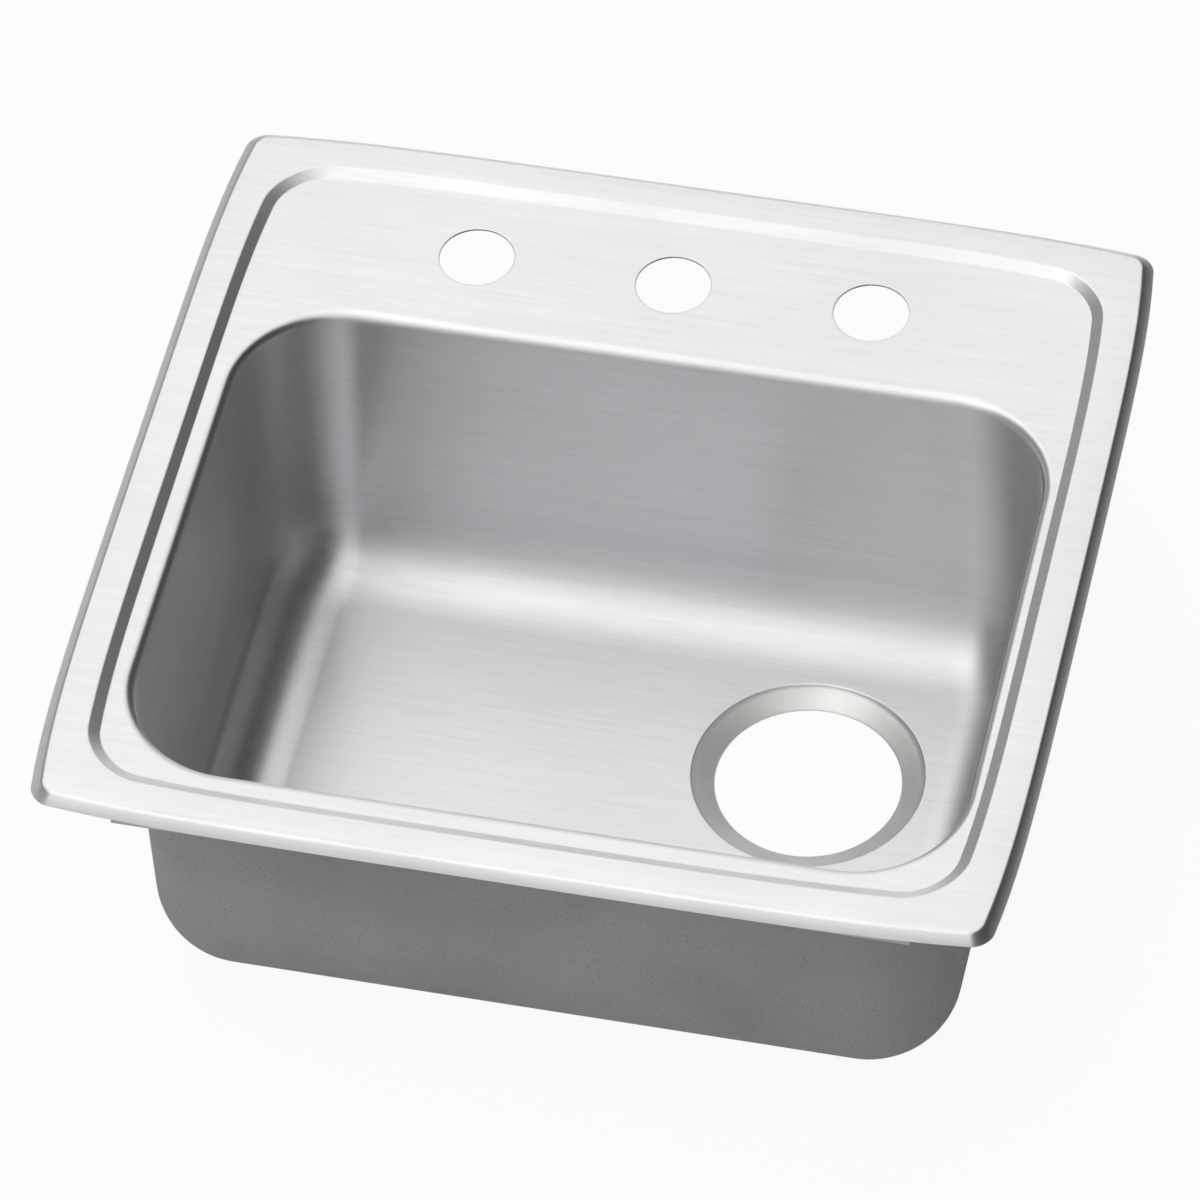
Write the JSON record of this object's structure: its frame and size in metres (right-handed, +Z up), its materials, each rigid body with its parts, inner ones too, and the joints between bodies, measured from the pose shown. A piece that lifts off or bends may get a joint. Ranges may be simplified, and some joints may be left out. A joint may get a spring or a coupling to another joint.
{
  "type": "drop-in kitchen sink",
  "caption": "Single-bowl stainless drop-in sink with a tap ledge, an offset open drain seat, and mounting rails and hold-down clips under its rim.",
  "frame": {"origin": "centre of the overall footprint, level with the underside of the drain seat, the lowest point", "axes": "+X to the user's right, +Y towards the tap ledge at the back, +Z up"},
  "size_m": [0.4826, 0.4572, 0.189],
  "materials": {
    "brushed_stainless": "fine brushed grain along X, satin",
    "rail_stainless": "mill finish, unpolished",
    "undercoat": "sprayed sound-deadening coat, matt, speckled",
    "zinc_plate": "bright zinc plate over pressed steel"
  },
  "bodies": {
    "root": {"sink_pan": "brushed_stainless", "undercoat": "undercoat", "rail_left": "rail_stainless", "rail_right": "rail_stainless", "rail_front": "rail_stainless", "rail_back": "rail_stainless"},
    "t_bolt_left_front": {"t_bolt_left_front": "zinc_plate"},
    "claw_left_front": {"claw_left_front": "zinc_plate"},
    "washer_left_front": {"washer_left_front": "zinc_plate"},
    "wing_nut_left_front": {"wing_nut_left_front": "zinc_plate"},
    "t_bolt_left_back": {"t_bolt_left_back": "zinc_plate"},
    "claw_left_back": {"claw_left_back": "zinc_plate"},
    "washer_left_back": {"washer_left_back": "zinc_plate"},
    "wing_nut_left_back": {"wing_nut_left_back": "zinc_plate"},
    "t_bolt_right_front": {"t_bolt_right_front": "zinc_plate"},
    "claw_right_front": {"claw_right_front": "zinc_plate"},
    "washer_right_front": {"washer_right_front": "zinc_plate"},
    "wing_nut_right_front": {"wing_nut_right_front": "zinc_plate"},
    "t_bolt_right_back": {"t_bolt_right_back": "zinc_plate"},
    "claw_right_back": {"claw_right_back": "zinc_plate"},
    "washer_right_back": {"washer_right_back": "zinc_plate"},
    "wing_nut_right_back": {"wing_nut_right_back": "zinc_plate"},
    "t_bolt_back_left": {"t_bolt_back_left": "zinc_plate"},
    "claw_back_left": {"claw_back_left": "zinc_plate"},
    "washer_back_left": {"washer_back_left": "zinc_plate"},
    "wing_nut_back_left": {"wing_nut_back_left": "zinc_plate"},
    "t_bolt_back_right": {"t_bolt_back_right": "zinc_plate"},
    "claw_back_right": {"claw_back_right": "zinc_plate"},
    "washer_back_right": {"washer_back_right": "zinc_plate"},
    "wing_nut_back_right": {"wing_nut_back_right": "zinc_plate"}
  },
  "joints": [
    {"name": "clip_slide_left_front", "type": "slide", "parent": "root", "child": "t_bolt_left_front", "axis": [0, 1, 0], "range_m": [-0.07, 0.085]},
    {"name": "clamp_lift_left_front", "type": "slide", "parent": "t_bolt_left_front", "child": "washer_left_front", "axis": [0, 0, 1], "range_m": [-0.0132, 0.0132]},
    {"name": "claw_swivel_left_front", "type": "hinge", "parent": "washer_left_front", "child": "claw_left_front", "pos_m": [-0.22586, -0.1, 0.1489], "axis": [0, 0, 1], "range_deg": [0, 180]},
    {"name": "nut_turn_left_front", "type": "hinge", "parent": "washer_left_front", "child": "wing_nut_left_front", "pos_m": [-0.22586, -0.1, 0.1432], "axis": [0, 0, 1], "range_deg": [-4752, 4752]},
    {"name": "clip_slide_left_back", "type": "slide", "parent": "root", "child": "t_bolt_left_back", "axis": [0, 1, 0], "range_m": [-0.085, 0.07]},
    {"name": "clamp_lift_left_back", "type": "slide", "parent": "t_bolt_left_back", "child": "washer_left_back", "axis": [0, 0, 1], "range_m": [-0.0132, 0.0132]},
    {"name": "claw_swivel_left_back", "type": "hinge", "parent": "washer_left_back", "child": "claw_left_back", "pos_m": [-0.22586, 0.1, 0.1489], "axis": [0, 0, 1], "range_deg": [0, 180]},
    {"name": "nut_turn_left_back", "type": "hinge", "parent": "washer_left_back", "child": "wing_nut_left_back", "pos_m": [-0.22586, 0.1, 0.1432], "axis": [0, 0, 1], "range_deg": [-4752, 4752]},
    {"name": "clip_slide_right_front", "type": "slide", "parent": "root", "child": "t_bolt_right_front", "axis": [0, 1, 0], "range_m": [-0.07, 0.085]},
    {"name": "clamp_lift_right_front", "type": "slide", "parent": "t_bolt_right_front", "child": "washer_right_front", "axis": [0, 0, 1], "range_m": [-0.0132, 0.0132]},
    {"name": "claw_swivel_right_front", "type": "hinge", "parent": "washer_right_front", "child": "claw_right_front", "pos_m": [0.22586, -0.1, 0.1489], "axis": [0, 0, 1], "range_deg": [0, 180]},
    {"name": "nut_turn_right_front", "type": "hinge", "parent": "washer_right_front", "child": "wing_nut_right_front", "pos_m": [0.22586, -0.1, 0.1432], "axis": [0, 0, 1], "range_deg": [-4752, 4752]},
    {"name": "clip_slide_right_back", "type": "slide", "parent": "root", "child": "t_bolt_right_back", "axis": [0, 1, 0], "range_m": [-0.085, 0.07]},
    {"name": "clamp_lift_right_back", "type": "slide", "parent": "t_bolt_right_back", "child": "washer_right_back", "axis": [0, 0, 1], "range_m": [-0.0132, 0.0132]},
    {"name": "claw_swivel_right_back", "type": "hinge", "parent": "washer_right_back", "child": "claw_right_back", "pos_m": [0.22586, 0.1, 0.1489], "axis": [0, 0, 1], "range_deg": [0, 180]},
    {"name": "nut_turn_right_back", "type": "hinge", "parent": "washer_right_back", "child": "wing_nut_right_back", "pos_m": [0.22586, 0.1, 0.1432], "axis": [0, 0, 1], "range_deg": [-4752, 4752]},
    {"name": "clip_slide_back_left", "type": "slide", "parent": "root", "child": "t_bolt_back_left", "axis": [1, 0, 0], "range_m": [-0.025, 0.145]},
    {"name": "clamp_lift_back_left", "type": "slide", "parent": "t_bolt_back_left", "child": "washer_back_left", "axis": [0, 0, 1], "range_m": [-0.0132, 0.0132]},
    {"name": "claw_swivel_back_left", "type": "hinge", "parent": "washer_back_left", "child": "claw_back_left", "pos_m": [-0.16, 0.21316, 0.1489], "axis": [0, 0, 1], "range_deg": [0, 180]},
    {"name": "nut_turn_back_left", "type": "hinge", "parent": "washer_back_left", "child": "wing_nut_back_left", "pos_m": [-0.16, 0.21316, 0.1432], "axis": [0, 0, 1], "range_deg": [-4752, 4752]},
    {"name": "clip_slide_back_right", "type": "slide", "parent": "root", "child": "t_bolt_back_right", "axis": [1, 0, 0], "range_m": [-0.145, 0.025]},
    {"name": "clamp_lift_back_right", "type": "slide", "parent": "t_bolt_back_right", "child": "washer_back_right", "axis": [0, 0, 1], "range_m": [-0.0132, 0.0132]},
    {"name": "claw_swivel_back_right", "type": "hinge", "parent": "washer_back_right", "child": "claw_back_right", "pos_m": [0.16, 0.21316, 0.1489], "axis": [0, 0, 1], "range_deg": [0, 180]},
    {"name": "nut_turn_back_right", "type": "hinge", "parent": "washer_back_right", "child": "wing_nut_back_right", "pos_m": [0.16, 0.21316, 0.1432], "axis": [0, 0, 1], "range_deg": [-4752, 4752]}
  ],
  "couplings": [
    {"joint": "clamp_lift_left_front", "follows": "nut_turn_left_front", "m_per_rad": 0.00015915},
    {"joint": "clamp_lift_left_back", "follows": "nut_turn_left_back", "m_per_rad": 0.00015915},
    {"joint": "clamp_lift_right_front", "follows": "nut_turn_right_front", "m_per_rad": 0.00015915},
    {"joint": "clamp_lift_right_back", "follows": "nut_turn_right_back", "m_per_rad": 0.00015915},
    {"joint": "clamp_lift_back_left", "follows": "nut_turn_back_left", "m_per_rad": 0.00015915},
    {"joint": "clamp_lift_back_right", "follows": "nut_turn_back_right", "m_per_rad": 0.00015915}
  ]
}
